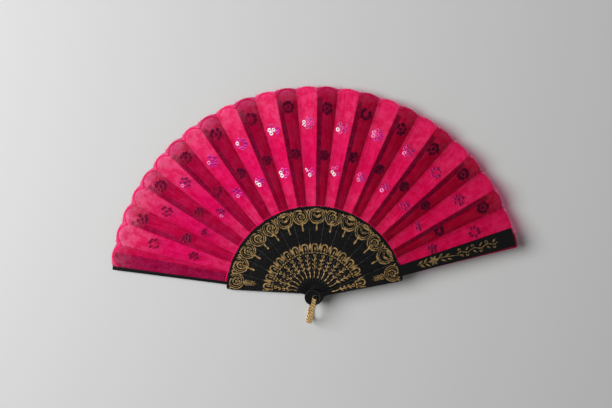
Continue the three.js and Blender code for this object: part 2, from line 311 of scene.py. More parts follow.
def makeCloth():
    material, shader, place = newMaterial("cloth")
    across, along, fromRim, facet, paleLight, shaded, gluedAndShaded, redShade, beyond = (
        attribute(place, name) for name in ("acrossMm", "alongMm", "fromRim", "facet", "pale", "shaded",
                                            "gluedAndShaded", "redShade", "beyond"))
    blotch = place.noise(cloth["blotchScale"], 5.0, 0.68).step(0.38, 0.62)
    streak = place.noise(cloth["streakScale"], 2.0, 0.5)

    def stretched(x, y, z):
        return place.node("CombineXYZ", {"X": across * x, "Y": along * y, "Z": facet * z})

    grain = stretched(*cloth["threadStretch"]).noise(1.0, 4.0, 0.72) - 0.5
    pucker = stretched(*cloth["puckerStretch"]).noise(1.0, 3.0, 0.7).step(0.38, 0.62)
    # painted shade: panels and the right of the fan are mixed towards a darker crimson, and valley creases towards
    # the shade colour; the grain adds thread texture
    colour = redShade.mix(blotch.mix(cloth["deep"], cloth["bright"]), cloth["shadedCrimson"])
    colour = (shaded + grain * 0.9).mix(colour, cloth["shade"])
    # painted shade over the black blades under the sheer cloth, with the puckers of the glued cloth
    colour = (gluedAndShaded * (0.30 + pucker * 0.45 - grain * 0.8)).mix(colour, cloth["strip"])
    # painted light: the cloth is mixed towards pale near the rim on the left, beyond the cord and on the bright
    # folds
    colour = (paleLight * (0.4 + blotch * 0.9) + blotch * 0.035 - grain * 0.14).mix(colour, cloth["pale"])
    warp = (across * (2 * math.pi / cloth["warp"])).sin()
    weft = (along * (2 * math.pi / cloth["weft"])).sin()
    weave = (warp * weft) * 0.5 + 0.5
    relief = weave * 0.7 + streak * 0.7 + grain * 2.2 + gluedAndShaded * pucker
    setInputs(place, shader, Base_Color=colour, Roughness=cloth["roughness"] + streak * 0.14,
              Metallic=cloth["lustre"], Specular_IOR_Level=cloth["specular"],
              Normal=bump(place, relief, *cloth["bump"]))
    clear = cloth["clear"] + paleLight * cloth["clearRim"] + beyond * cloth["clearBeyond"] + weave * 0.05 - 0.025
    raw = place.noise(cloth["tornScale"], 3.0, 0.7)
    torn = 1.0 - (fromRim + raw * cloth["torn"]).step(0.75, 1.05)
    see = place.node("BsdfTransparent", {"Color": cloth["through"]})
    gone = place.node("BsdfTransparent", {"Color": (1, 1, 1, 1)})
    body = place.node("MixShader", {0: clear, 1: Wire(place.tree, shader.outputs[0]), 2: see})
    edge = place.node("MixShader", {0: torn, 1: body, 2: gone})
    output = next(n for n in place.tree.nodes if n.type == "OUTPUT_MATERIAL")
    place.tree.links.new(edge.socket, output.inputs["Surface"])
    return material


clothMaterial = makeCloth()


# how far round the fan a facet lies, from 0 at the left to 1 at the right
def shareRound(kind, k):
    return (k + (0.5 if kind == "fold" else 0)) / lastStick


def rimAt(kind, k, u):
    depth = leaf["scallop"] * (leaf["scallopLeft"] - leaf["scallopLess"] * shareRound(kind, k))
    return leaf["rim"] - depth * (1 - np.sin(np.pi * u))


# how far inside the rim the cord runs: it dips at each crease
inset = {"least": 1.3, "dip": 4.6, "power": 0.75, "blur": 0.6}


def cordInset(u):
    return inset["least"] + inset["dip"] * (1 - np.sin(np.pi * u) ** inset["power"])


def beyondCord(kind, k, u, r):
    return np.clip((cordInset(u) - (rimAt(kind, k, u) - r)) / inset["blur"] + 0.5, 0, 1)


# how pale a facet's cloth is, as painted light: near its rim on the left, beyond the cord, and softly on the bright
# folds, lighter towards their mountain crease; it stands in for the lit table showing through the sheer cloth and
# for highlights on the folds
pale = {
    "from": 194, "over": 24, "power": 1.3, "fold": (0.03, 0.82), "panel": (0.08, 0.98), "leftUntil": 0.54,
    "spots": ((194, 19, 0.24), (106, 14, 0.16)), "backGuard": 0.25, "beyond": 0.45, "beyondLess": 0.5,
}


def paleLightShare(kind, k, u, r):
    share = shareRound(kind, k)
    least, most = pale[kind]
    left = max(0.0, 1 - share / pale["leftUntil"])
    values = np.clip((r - pale["from"]) / pale["over"], 0, 1) ** pale["power"] * (least + most * left)
    if kind == "fold":
        # painted highlight on the bright folds, lighter towards their mountain crease and fading to the right
        middle = sum(np.exp(-((r - at) / wide) ** 2) * much for at, wide, much in pale["spots"])
        values = values + middle * max(0.0, 1 - 0.95 * share) * (0.55 + 0.6 * u)
    if (kind, k) == ("panel", 0):
        values = values * pale["backGuard"]
    beyond = beyondCord(kind, k, u, r) * max(0.0, pale["beyond"] - pale["beyondLess"] * share)
    return np.clip(values + beyond, 0, 1)


# where a panel is stuck down on its blade, whose outline shows through as painted shade of the black blade under the
# sheer cloth, weaker on the lit left and near the rim
blade = {
    "root": 0.5, "tip": 1.8, "from": 95.0, "long": 115.0, "halfRoot": 2.3, "halfTip": 2.6, "end": 210.0,
    "guardRoot": 5.75, "guardTip": 9.85, "guardEnd": 218.4, "round": 1.3, "blur": 0.35, "endBlur": 0.8,
    "guardShows": 0.75, "leastShows": 0.2, "leftShows": 0.62, "allFrom": 0.6, "fadeFrom": 170, "fade": 0.35,
}


def gluedAndShadedShare(k, u, r):
    left, right = creases(k)
    a = np.radians(left + (right - left) * u)
    y = r * np.cos(a)
    t = (y - blade["from"]) / blade["long"]
    if isGuard(k):
        half = blade["guardRoot"] + (blade["guardTip"] - blade["guardRoot"]) * t
        side = np.abs(r * np.sin(a))
        outside = blade["guardEnd"] - y
        strength = blade["guardShows"]
    else:
        half = blade["halfRoot"] + (blade["halfTip"] - blade["halfRoot"]) * t
        side = np.abs(r * np.sin(a) - (blade["root"] + (blade["tip"] - blade["root"]) * t))
        outside = blade["end"] - y - blade["round"] * side ** 2 / half
        share = shareRound("panel", k)
        shows = blade["leftShows"] + (1 - blade["leftShows"]) * min(1, share / blade["allFrom"])
        strength = (np.clip((r - 125 + 60 * share) / 60, blade["leastShows"], 1) * shows
                    * (1 - blade["fade"] * np.clip((r - blade["fadeFrom"]) / 25, 0, 1)))
    return np.clip((half - side) / blade["blur"] + 0.5, 0, 1) * np.clip(outside / blade["endBlur"], 0, 1) * strength


# painted shade in the valley creases, over a painted shade base that darkens the panels and the folds on the right,
# where less light falls
shade = {"narrow": 0.25, "narrowMm": 1.4, "wide": {"panel": 0.34, "fold": 0.24}, "wideMm": 5.5}


def shadeShare(kind, k, side):
    share = shareRound(kind, k)
    valley = shade["narrow"] * np.exp(-side / shade["narrowMm"])
    valley = valley + shade["wide"][kind] * np.exp(-(side / shade["wideMm"]) ** 1.5)
    base = 0.24 + 0.14 * share if kind == "panel" else 0.14 * min(1.0, max(0.0, (share - 0.3) / 0.25))
    return np.clip(base + valley * (0.55 + 0.45 * share), 0, 1)


def makeFacet(kind, k):
    name = "leaf_%s_%02d" % (kind, k)
    t = np.linspace(0, 1, leaf["columns"] + 1)
    spaced = (0.5 - 0.5 * np.cos(np.pi * t)) * 0.6 + t * 0.4  # closer together beside the creases
    u, v = np.meshgrid(spaced, np.linspace(0, 1, leaf["rows"] + 1))
    rim = rimAt(kind, k, u)
    r = leaf["inner"] + (rim - leaf["inner"]) * v
    points = facetPoints(kind, k, u, r)
    made = newMesh("cloth_%s_%02d" % (kind, k), points, gridFaces(leaf["rows"], leaf["columns"]))
    width = np.linalg.norm(points[:, 1:] - points[:, :-1], axis=2).sum(1)
    share = shareRound(kind, k)
    # painted shade: how far a facet is mixed towards the darker crimson, most on the panels and towards the right
    redShade = 0.25 + 0.75 * share if kind == "panel" else max(0.0, 0.6 * share - 0.1)
    addValues(made, "acrossMm", u * width[:, None])
    addValues(made, "alongMm", r)
    addValues(made, "fromRim", rim - r)
    addValues(made, "facet", np.full(u.shape, k + (0.5 if kind == "fold" else 0)))
    addValues(made, "pale", paleLightShare(kind, k, u, r))
    addValues(made, "shaded", shadeShare(kind, k, (1 - u if kind == "panel" else u) * width[:, None]))
    addValues(made, "redShade", np.full(u.shape, redShade))
    addValues(made, "beyond", beyondCord(kind, k, u, r))
    addValues(made, "gluedAndShaded", gluedAndShadedShare(k, u, r) if kind == "panel" else np.zeros(u.shape))
    made.data.materials.append(clothMaterial)
    smooth(made)
    area = sum(p.area for p in made.data.polygons)
    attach(made, stickBody(k) if kind == "panel" and isGuard(k) else name)
    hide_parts(name)
    return made, (float(width.max()) * mm, (leaf["rim"] - leaf["inner"]) * mm), area


facets, sheets = {}, {}
for k in range(lastStick + 1):
    for kind in ("panel", "fold"):
        if kind == "fold" and k == lastStick:
            continue
        made, flat, area = makeFacet(kind, k)
        facets[kind, k], sheets[kind, k] = made, (flat, area)
print("cloth facets", len(facets))

# each facet's own thread, made by mesh code: a cord and a hem swept over the cloth, and frayed ends at the rim
thread = {
    # the far colour is painted shade for the right of the fan
    "colour": (0.84, 0.0006, 0.080, 1), "far": (0.34, 0.0004, 0.026, 1), "pale": (0.80, 0.16, 0.30, 1),
    "fibre": (1.0, 0.012, 0.16, 1), "halfWide": 0.85, "halfHigh": 0.09, "under": 0.05, "twist": 2.1, "lump": 0.22,
    "hemFrom": 0.7, "hemWide": 0.8, "hemHigh": 0.5, "hemUnder": 0.6, "hemTwist": 1.3, "steps": 44, "sides": 6,
    "specular": 0.1, "bump": (0.4, 0.0002),
}


# thread that goes from one colour at the left of the fan to a darker one at the right, as painted shade where less
# light falls
def makeThread(name, colour, far, roughness):
    material, shader, place = newMaterial(name)
    fibre = place.noise(2600.0, 2.0, 0.6)
    colour = attribute(place, "share").mix(colour, far)
    setInputs(place, shader, Base_Color=(fibre.step(0.3, 0.7) * 0.3).mix(colour, thread["fibre"]),
              Roughness=roughness, Specular_IOR_Level=thread["specular"], Normal=bump(place, fibre, *thread["bump"]))
    return material


threadMaterial = makeThread("thread", thread["colour"], thread["far"], 0.6)
frayMaterial = makeThread("loose_thread", thread["pale"], thread["pale"], 0.7)


def facetWidth(kind, k):
    ends = facetPoints(kind, k, np.array([0.0, 1.0]), np.array([200.0, 200.0]))
    return float(np.linalg.norm(ends[1] - ends[0]))


# a flattened cord along points on the cloth, with the twist of its thread as small lumps
def sweep(points, halfWide, halfHigh, sides, twist, normal):
    forward = np.gradient(points, axis=0)
    forward /= np.linalg.norm(forward, axis=1)[:, None]
    side = np.cross(forward, normal)
    side /= np.linalg.norm(side, axis=1)[:, None]
    up = np.cross(side, forward)
    turn = np.linspace(0, 2 * math.pi, sides, endpoint=False)
    rings = []
    for i, p in enumerate(points):
        wide = halfWide * (1 + thread["lump"] * math.sin(i * twist))
        rings.append(p + np.outer(np.cos(turn) * wide, side[i]) + np.outer(np.sin(turn) * halfHigh, up[i]))
    faces = []
    for i in range(len(points) - 1):
        for j in range(sides):
            a, b = i * sides + j, i * sides + (j + 1) % sides
            faces.append((a, b, b + sides, a + sides))
    last = (len(points) - 1) * sides
    faces.append(tuple(range(sides - 1, -1, -1)))
    faces.append(tuple(last + j for j in range(sides)))
    return np.concatenate(rings), faces


def joined(pieces):
    verts, faces, start = [], [], 0
    for v, f in pieces:
        verts.append(v)
        faces += [tuple(i + start for i in face) for face in f]
        start += len(v)
    return np.concatenate(verts), faces


def makeTrim(kind, k):
    u = np.linspace(0.0, 1.0, thread["steps"] + 1)
    arch = facetPoints(kind, k, u, rimAt(kind, k, u) - cordInset(u))
    hem = facetPoints(kind, k, u, np.full(u.shape, leaf["inner"] + thread["hemFrom"]))
    arch[:, 2] -= thread["under"]
    hem[:, 2] -= thread["under"] * thread["hemUnder"]
    wide, high, sides, normal = thread["halfWide"], thread["halfHigh"], thread["sides"], facetNormal(kind, k)
    verts, faces = joined([
        sweep(arch, wide, high, sides, thread["twist"], normal),
        sweep(hem, wide * thread["hemWide"], high * thread["hemHigh"], sides, thread["hemTwist"], normal),
    ])
    made = newMesh("cord_%s_%02d" % (kind, k), verts, faces)
    addValues(made, "share", np.full(len(verts), shareRound(kind, k)))
    made.data.materials.append(threadMaterial)
    smooth(made)
    return made


# loose thread ends at the rim, some in a tuft beside the crease, longer on the right of the fan
fray = {
    "count": 46, "tufts": 0.35, "least": 0.7, "most": 2.2, "mostRight": 2.4, "tuftRight": 0.8,
    "sway": 0.25, "wide": 0.09, "wideSpread": 0.08, "root": 0.9, "rootLength": 0.6, "taper": 0.6, "rise": 0.05,
}


def makeFray(kind, k):
    rng = np.random.default_rng(100 * k + (7 if kind == "fold" else 3))
    share = k / lastStick
    across = facetWidth(kind, k)
    grow = np.array([0.0, 0.5, 1.0])
    verts, faces = [], []
    for i in range(fray["count"]):
        tuft = rng.random() < fray["tufts"]
        u = (0.06 + 0.1 * rng.random() if tuft else rng.random()) * 0.98 + 0.01
        most = fray["most"] + fray["mostRight"] * share
        length = fray["least"] + rng.random() ** 3 * most + (fray["tuftRight"] * share if tuft else 0)
        sway = rng.normal(0, fray["sway"])
        width = fray["wide"] + fray["wideSpread"] * rng.random()
        r = rimAt(kind, k, u) - fray["root"] + grow * (length + fray["rootLength"])
        du = sway * grow ** 2 * length / across
        middle = facetPoints(kind, k, np.clip(u + du, 0.002, 0.998), r)
        middle[:, 2] += rng.normal(0, fray["rise"]) * grow
        turn = math.atan2(middle[0, 1], middle[0, 0]) + math.pi / 2
        sideways = np.array([math.cos(turn), math.sin(turn), 0])
        start = len(verts)
        for p, g in zip(middle, grow):
            w = width * (1 - fray["taper"] * g) / 2
            verts += [p + sideways * w, p - sideways * w]
        faces += [(start, start + 1, start + 3, start + 2), (start + 2, start + 3, start + 5, start + 4)]
    made = newMesh("fray_%s_%02d" % (kind, k), verts, faces)
    made.data.materials.append(frayMaterial)
    return made


trims = {}
for key, made in facets.items():
    trims[key] = [makeTrim(*key), makeFray(*key)]
    for piece in trims[key]:
        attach(piece, made["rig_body"])
print("cords and frayed ends", 2 * len(trims))

# sequin flowers: one cupped sequin is modelled, then copied over each facet on embroidered stars
sequin = {
    "radius": 2.1, "rim": 0.65, "hole": 0.75, "knot": 0.6, "cup": 0.014, "thick": 0.012, "corners": 12,
    "lift": 0.006, "liftSpread": 0.004, "lean": 0.002, "spread": 0.04, "thinnest": 0.3, "thinUntil": 0.35,
    "white": (0.98, 0.80, 0.86), "pink": (0.95, 0.24, 0.50), "whiteBetween": (0.34, 0.6), "mixSpread": 0.18,
    "metallic": 0.15, "roughness": 0.34, "specular": 0.08, "bump": (0.5, 0.0004),
}
# stitch thread, darker at the right of the fan as painted shade
stitch = {"colour": (0.13, 0.001, 0.022, 1), "far": (0.05, 0.0005, 0.010, 1)}
flowers = {
    "fold": {"rows": (181.5, 134.0), "ring": (4.7, 3.8), "count": (7, 6), "middle": 0.5, "rays": 14, "ray": 0.12},
    "panel": {"rows": (199.5, 150.5), "ring": (4.9, 3.9), "count": (9, 7), "middle": 0.52, "rays": 20, "ray": 0.22},
    "heart": 0.85, "missing": 0.06, "rayFrom": 1.0, "rayBeyond": 2.4, "rayHigh": 0.02, "margin": 0.07,
    "rowSpread": 1.4, "middleSpread": 0.02, "turnSpread": 6, "rayTurnSpread": 5, "hotSide": (110, 30),
}
# sequin tints round the fan from left to right, whose brightness is painted light: brightest on the middle folds
# that face the lamp, darker at both ends and on the shaded panels; share, main, second, and how much of a cluster
# flashes as a painted glint
foldTints = (
    (0.00, (0.38, 0.001, 0.035), (0.21, 0.001, 0.022), 0.0),
    (0.18, (0.50, 0.003, 0.10), (0.24, 0.001, 0.05), 0.0),
    (0.30, (0.85, 0.03, 0.42), (0.44, 0.006, 0.22), 0.10),
    (0.42, (1.0, 0.14, 0.42), (0.66, 0.010, 0.27), 0.22),
    (0.56, (1.0, 0.18, 0.40), (0.62, 0.010, 0.23), 0.26),
    (0.68, (0.85, 0.05, 0.28), (0.42, 0.004, 0.16), 0.10),
    (0.80, (0.46, 0.004, 0.13), (0.24, 0.001, 0.06), 0.0),
    (1.00, (0.24, 0.001, 0.040), (0.14, 0.001, 0.022), 0.0),
)
panelTints = (
    (0.00, (0.24, 0.001, 0.036), (0.11, 0.001, 0.030), 0.0),
    (0.25, (0.40, 0.004, 0.030), (0.09, 0.001, 0.035), 0.0),
    (0.40, (0.28, 0.004, 0.030), (0.09, 0.001, 0.030), 0.0),
    (0.60, (0.10, 0.001, 0.022), (0.055, 0.001, 0.018), 0.0),
    (1.00, (0.06, 0.001, 0.014), (0.040, 0.001, 0.012), 0.0),
)


# a filled circle as the start of a piece, left in edit mode with all of it selected
def startDisc(radius, corners):
    bpy.ops.object.select_all(action="DESELECT")
    bpy.ops.mesh.primitive_circle_add(vertices=corners, radius=radius * mm, fill_type="NGON", location=(0, 0, 0))
    bpy.ops.object.mode_set(mode="EDIT")
    bpy.ops.mesh.select_all(action="SELECT")


def makeSequin():
    startDisc(sequin["radius"], sequin["corners"])
    made = bpy.context.object
    bpy.ops.mesh.inset(thickness=sequin["rim"] * mm)
    bpy.ops.transform.translate(value=(0, 0, sequin["cup"] * mm))
    bpy.ops.mesh.inset(thickness=(sequin["radius"] - sequin["rim"] - sequin["hole"]) * mm)
    bpy.ops.transform.translate(value=(0, 0, -sequin["cup"] * mm))
    bpy.ops.mesh.delete(type="FACE")
    bpy.ops.mesh.primitive_circle_add(vertices=6, radius=sequin["knot"] * mm, fill_type="NGON", location=(0, 0, 0))
    bpy.ops.mesh.inset(thickness=sequin["knot"] / 2 * mm)
    bpy.ops.transform.translate(value=(0, 0, sequin["cup"] * mm))
    bpy.ops.object.mode_set(mode="OBJECT")
    solid = made.modifiers.new("thick", "SOLIDIFY")
    solid.thickness = sequin["thick"] * mm
    bpy.ops.object.modifier_apply(modifier="thick")
    points, faces = meshPoints(made), [tuple(p.vertices) for p in made.data.polygons]
    bpy.data.objects.remove(made)
    return points, faces


def makeSequinMaterial():
    material, shader, place = newMaterial("sequin")
    tint = place.node("Attribute", {}, out=0, attribute_name="tint")
    setInputs(place, shader, Base_Color=tint, Metallic=sequin["metallic"], Roughness=sequin["roughness"],
              Specular_IOR_Level=sequin["specular"],
              Normal=bump(place, attribute(place, "dome"), *sequin["bump"]))
    return material


sequinMaterial = makeSequinMaterial()
stitchMaterial = makeThread("stitches", stitch["colour"], stitch["far"], 0.6)


# a point on the cloth with its own axes: outward along the facet, across it, and off its face
def clothFrame(kind, k, u, r):
    du = 0.5 / facetWidth(kind, k)
    grid = facetPoints(kind, k, np.array([u, u + du, u]), np.array([r, r, r + 0.5]))
    across, out = grid[1] - grid[0], grid[2] - grid[0]
    off = np.cross(out, across)
    off = -off if off[2] < 0 else off
    off, out = off / np.linalg.norm(off), out / np.linalg.norm(out)
    return grid[0], out, np.cross(out, off), off


def tintAt(tints, share):
    for a, b in zip(tints, tints[1:]):
        if share <= b[0]:
            f = (share - a[0]) / (b[0] - a[0])
            return [np.array(a[i]) * (1 - f) + np.array(b[i]) * f for i in (1, 2, 3)]
    return [np.array(part) for part in tints[-1][1:]]


# where a flower's sequins sit, outward and across from its middle: a ring with a few missing, and often a heart
def flowerSpots(rng, count, reach, spin):
    spots = [(0.0, 0.0)] if rng.random() < flowers["heart"] else []
    for i in range(count):
        if rng.random() < flowers["missing"]:
            continue
        turn = math.radians(spin + 360 * i / count + rng.normal(0, flowers["turnSpread"]))
        spots.append((reach * math.cos(turn) * (1 + rng.normal(0, 0.06)), reach * math.sin(turn)))
    return spots


# one sequin's points on the cloth at a random turn, thinner where the closed pleats meet
def laySequin(rng, points, place, fromValley, width):
    p, out, side, off = place
    turn = math.radians(rng.random() * 360)
    lean = rng.normal(0, sequin["lean"], 2)
    scale = 1 + rng.normal(0, sequin["spread"])
    x = out * math.cos(turn) + side * math.sin(turn)
    y = np.cross(off, x)
    z = off + lean[0] * x + lean[1] * y
    flat = min(1.0, max(sequin["thinnest"], (fromValley - sequin["radius"] / width) / sequin["thinUntil"]))
    lift = flat * (sequin["lift"] + sequin["liftSpread"] * rng.random())
    return p + off * lift + scale * (points[:, :1] * x + points[:, 1:2] * y + flat * points[:, 2:] * z)


# a sequin's tint: the main one on the lit side of its flower and the darker second on the other, as painted light
# and shade, and a painted glint of white or pink on a few
def sequinTone(rng, tints, aside, share):
    main, second, flash = tints
    f = min(1.0, max(0.0, aside + rng.normal(0, sequin["mixSpread"])))
    tone = (main * (1 - f) + second * f) * (0.75 + 0.5 * rng.random())
    if f < flash * 1.2:
        low, high = sequin["whiteBetween"]
        tone = np.array(sequin["white"] if low < share < high else sequin["pink"])
    return tone


# the stitches that hold a flower, as rays that stop short of the facet's creases
def flowerRays(rng, kind, k, u0, row, width, reach, spin):
    rays, plan, normal = [], flowers[kind], facetNormal(kind, k)
    for i in range(plan["rays"]):
        turn = math.radians(spin + 360 * i / plan["rays"] + rng.normal(0, flowers["rayTurnSpread"]))
        near = flowers["rayFrom"] + 0.8 * rng.random()
        far = reach + flowers["rayBeyond"] + 1.2 * rng.random()
        room = (1 - flowers["margin"] - u0 if math.sin(turn) > 0 else u0 - flowers["margin"]) * width
        far = min(far, room / max(0.01, abs(math.sin(turn))))
        line = [clothFrame(kind, k, u0 + d * math.sin(turn) / width, row + d * math.cos(turn))[0]
                for d in np.linspace(near, far, 5)]
        rays.append(sweep(np.array(line), plan["ray"], flowers["rayHigh"], 4, 1.9, normal))
    return rays


def makeFlowers(kind, k, points, outline):
    rng = np.random.default_rng(500 + 10 * k + (1 if kind == "fold" else 0))
    plan, share = flowers[kind], shareRound(kind, k)
    tints = tintAt(foldTints if kind == "fold" else panelTints, share)
    radius = np.hypot(points[:, 0], points[:, 1])
    dome = np.clip(1 - np.abs(radius - (sequin["radius"] - sequin["rim"])) / sequin["rim"], 0, 1)
    edges = [sequin["knot"], sequin["hole"], sequin["hole"] + 0.2, sequin["radius"]]
    # the knot is dark thread; the darker hole edge and the brighter ring round it are painted shade and highlight
    dim = np.interp(radius, edges, [0.12, 0.35, 1.0, 0.9])  # the knot and the hole's edge are darker
    laid, colours, stitches = [], [], []
    for row, count, reach in zip(plan["rows"], plan["count"], plan["ring"]):
        row += rng.normal(0, flowers["rowSpread"])
        u0 = plan["middle"] + rng.normal(0, flowers["middleSpread"])
        width = facetWidth(kind, k) * row / 200
        spin = rng.random() * 360
        # each flower's lit side, which takes the main tint and the painted glints
        hot = math.radians(rng.normal(*flowers["hotSide"]))
        for along, across in flowerSpots(rng, count, reach, spin):
            u = u0 + across / width
            place = clothFrame(kind, k, u, row + along)
            laid.append((laySequin(rng, points, place, u if kind == "fold" else 1 - u, width), outline))
            aside = 0.5 - 0.5 * math.cos(math.atan2(across, along) + hot) if along or across else 0.5
            tone = sequinTone(rng, tints, aside, share)
            colours += [(*(tone * d), 1.0) for d in dim]
        stitches += flowerRays(rng, kind, k, u0, row, width, reach, spin)
    made = newMesh("sequins_%s_%02d" % (kind, k), *joined(laid))
    layer = made.data.color_attributes.new("tint", "FLOAT_COLOR", "POINT")
    layer.data.foreach_set("color", np.asarray(colours, np.float32).ravel())
    addValues(made, "dome", np.tile(dome, len(laid)))
    made.data.materials.append(sequinMaterial)
    sewn = newMesh("stitches_%s_%02d" % (kind, k), *joined(stitches))
    addValues(sewn, "share", np.full(len(sewn.data.vertices), share))
    sewn.data.materials.append(stitchMaterial)
    return [made, sewn]


sequinPoints, sequinFaces = makeSequin()
for key, made in facets.items():
    if key[0] == "panel" and isGuard(key[1]):
        continue
    for piece in makeFlowers(*key, sequinPoints, sequinFaces):
        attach(piece, made["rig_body"])
        trims[key].append(piece)
print("sequins")

# black plastic sticks: the CAD solids, with softened edges and an embossed band
plastic = {
    "colour": (0.003, 0.0028, 0.003, 1), "roughness": 0.26, "specular": 0.14, "edge": 0.24,
    "bandStarts": (28, 34), "bandEnds": (68, 76), "dotPitch": 1.9, "dotsRound": 190.0, "bump": (0.8, 0.0004),
}


def makePlastic():
    material, shader, place = newMaterial("plastic")
    noise = place.noise(700.0, 3.0, 0.6)
    x, y = place.axis(0), place.axis(1)
    radius = ((x * x + y * y) ** 0.5) * 1000
    turn = place.math("ARCTAN2", y, x)
    band = radius.step(*plastic["bandStarts"]) * (1.0 - radius.step(*plastic["bandEnds"]))
    dots = (radius * (2 * math.pi / plastic["dotPitch"])).sin() * (turn * plastic["dotsRound"]).sin()
    relief = band * dots.step(-0.1, 0.7) + noise * 0.15
    setInputs(place, shader, Base_Color=plastic["colour"], Roughness=plastic["roughness"] + noise * 0.12,
              Specular_IOR_Level=plastic["specular"], Normal=bump(place, relief, *plastic["bump"]))
    return material


plasticMaterial = makePlastic()


# gives a CAD node its material and rounds its sharp edges
soften = {"weld": 0.00001, "segments": 2, "angle": 40}


def finishSolid(node, material, edge):
    made = nodes[node]
    made.data.materials.clear()
    made.data.materials.append(material)
    weld = made.modifiers.new("weld", "WELD")
    weld.merge_threshold = soften["weld"]
    bevel = made.modifiers.new("edge", "BEVEL")
    bevel.width = edge * mm
    bevel.segments = soften["segments"]
    bevel.limit_method = "ANGLE"
    bevel.angle_limit = math.radians(soften["angle"])
    bevel.harden_normals = True
    bevel.use_clamp_overlap = False


for k in range(lastStick + 1):
    finishSolid(stickBody(k), plasticMaterial, plastic["edge"])
print("sticks")

# the gold print: thin raised plates modelled once lying along +Y, then copied to each stick
gold = {
    "colour": (0.385, 0.235, 0.074, 1), "dull": (0.070, 0.044, 0.015, 1), "bright": (0.80, 0.50, 0.20, 1),
    "metallic": 0.35, "roughness": 0.42, "wearAndHighlightScale": 270.0, "grainScale": 2200.0, "spotScale": 430.0,
    "bump": (0.6, 0.0002), "rightShade": 0.5, "rightShadeBetween": (0.03, 0.14), "glintAt": 27, "glintWide": 16,
    "thick": 0.05, "above": 0.01, "turn": 0.4, "shift": -0.9, "cups": (5, 7, 9, 10, 12),
}


def makeGold():
    material, shader, place = newMaterial("gold_print")
    wear = place.noise(gold["wearAndHighlightScale"], 4.0, 0.7)
    grain = place.noise(gold["grainScale"], 2.0, 0.6)
    spots = place.noise(gold["spotScale"], 2.0, 0.5).step(0.5, 0.64)
    # painted highlight: spots of bright gold, strongest round the glint radius on each stick
    shine = spots * (0.25 + attribute(place, "glint") * 0.75) * (0.6 + grain * 0.4)
    colour = wear.step(0.40, 0.58).mix(gold["dull"], gold["colour"])
    colour = shine.mix(colour, gold["bright"])
    # painted shade: the right of the fan, where less light falls, is mixed towards the dull colour
    rightShade = place.axis(0).step(*gold["rightShadeBetween"]) * gold["rightShade"]  # the right of the fan is duller
    setInputs(place, shader, Base_Color=rightShade.mix(colour, gold["dull"]), Metallic=gold["metallic"],
              Roughness=gold["roughness"] + wear * 0.2, Normal=bump(place, wear + grain * 0.6, *gold["bump"]))
    return material


goldMaterial = makeGold()

# slightly raised lines along the sticks' edges and round the front guard's head, grey in patches as painted
# highlights on those edges
rib = {"dark": (0.006, 0.006, 0.006, 1), "edgeHighlight": (0.055, 0.053, 0.05, 1), "wearAndHighlightScale": 260.0, "roughness": 0.3}


def makeRib():
    material, shader, place = newMaterial("rib")
    edgeHighlight = place.noise(rib["wearAndHighlightScale"], 2.0, 0.6).step(0.4, 0.6)
    setInputs(place, shader, Base_Color=edgeHighlight.mix(rib["dark"], rib["edgeHighlight"]), Roughness=rib["roughness"])
    return material


ribMaterial = makeRib()


# selects what the test picks from the mesh being edited: its verts, edges or faces
def pick(kind, test):
    bpy.ops.mesh.select_all(action="DESELECT")
    data = bpy.context.edit_object.data
    bpy.ops.mesh.select_mode(type={"verts": "VERT", "edges": "EDGE", "faces": "FACE"}[kind])
    mesh = bmesh.from_edit_mesh(data)
    for item in getattr(mesh, kind):
        item.select_set(test(item))
    mesh.select_flush_mode()
    bmesh.update_edit_mesh(data)


def endPart(x, y, angle, lift):
    made = bpy.context.object
    bpy.ops.object.mode_set(mode="OBJECT")
    made.data.transform(Matrix.Translation(Vector((x, y, lift)) * mm) @ Matrix.Rotation(math.radians(angle), 4, "Z"))
    return made


# a flat stroke from a point: each move is (radius, turn left in degrees, end width), or ("on", length, end width)
def stroke(x, y, angle, width, moves, lift=0.0):
    bpy.ops.object.select_all(action="DESELECT")
    bpy.ops.mesh.primitive_plane_add(size=width * mm, location=(0, 0, 0))
    bpy.ops.object.mode_set(mode="EDIT")
    pick("edges", lambda e: all(v.co.y > 0 for v in e.verts))
    bpy.ops.transform.translate(value=(0, -width * 0.4 * mm, 0))
    at, facing, wide = Vector((0, width * 0.1 * mm, 0)), 0.0, width
    for radius, amount, end in moves:
        forward = Vector((-math.sin(facing), math.cos(facing), 0))
        if radius == "on":
            bpy.ops.mesh.extrude_region_move(TRANSFORM_OT_translate={"value": forward * amount * mm})
            at = at + forward * amount * mm
        else:
            side = 1 if amount > 0 else -1
            left = Vector((-forward.y, forward.x, 0))
            centre = at + left * side * radius * mm
            turn = math.radians(amount)
            bpy.ops.mesh.spin(steps=max(2, round(abs(amount) / 24)), angle=-turn, center=centre, axis=(0, 0, 1))
            at = centre + Matrix.Rotation(turn, 3, "Z") @ (at - centre)
            facing += turn
        bpy.ops.transform.resize(value=(end / wide,) * 3, center_override=at)
        wide = end
    return endPart(x, y, angle, lift)


# a closed band round a circle
def ring(x, y, radius, width, corners):
    startDisc(radius, corners)
    bpy.ops.mesh.inset(thickness=width * mm)
    bpy.ops.mesh.delete(type="FACE")
    return endPart(x, y, 0, 0.0)


# a leaf, petal or bead with a raised middle
def petal(x, y, angle, length, width, lift=0.0, corners=10, point=0.0):
    startDisc(length / 2, corners)
    bpy.ops.transform.resize(value=(width / length, 1, 1))
    if point:
        pick("verts", lambda v: v.co.y > length * 0.49 * mm)
        bpy.ops.transform.translate(value=(0, point * mm, 0))
    pick("faces", lambda f: True)
    bpy.ops.mesh.inset(thickness=width * 0.22 * mm)
    bpy.ops.transform.translate(value=(0, 0, gold["thick"] * mm))
    return endPart(x, y, angle, lift)


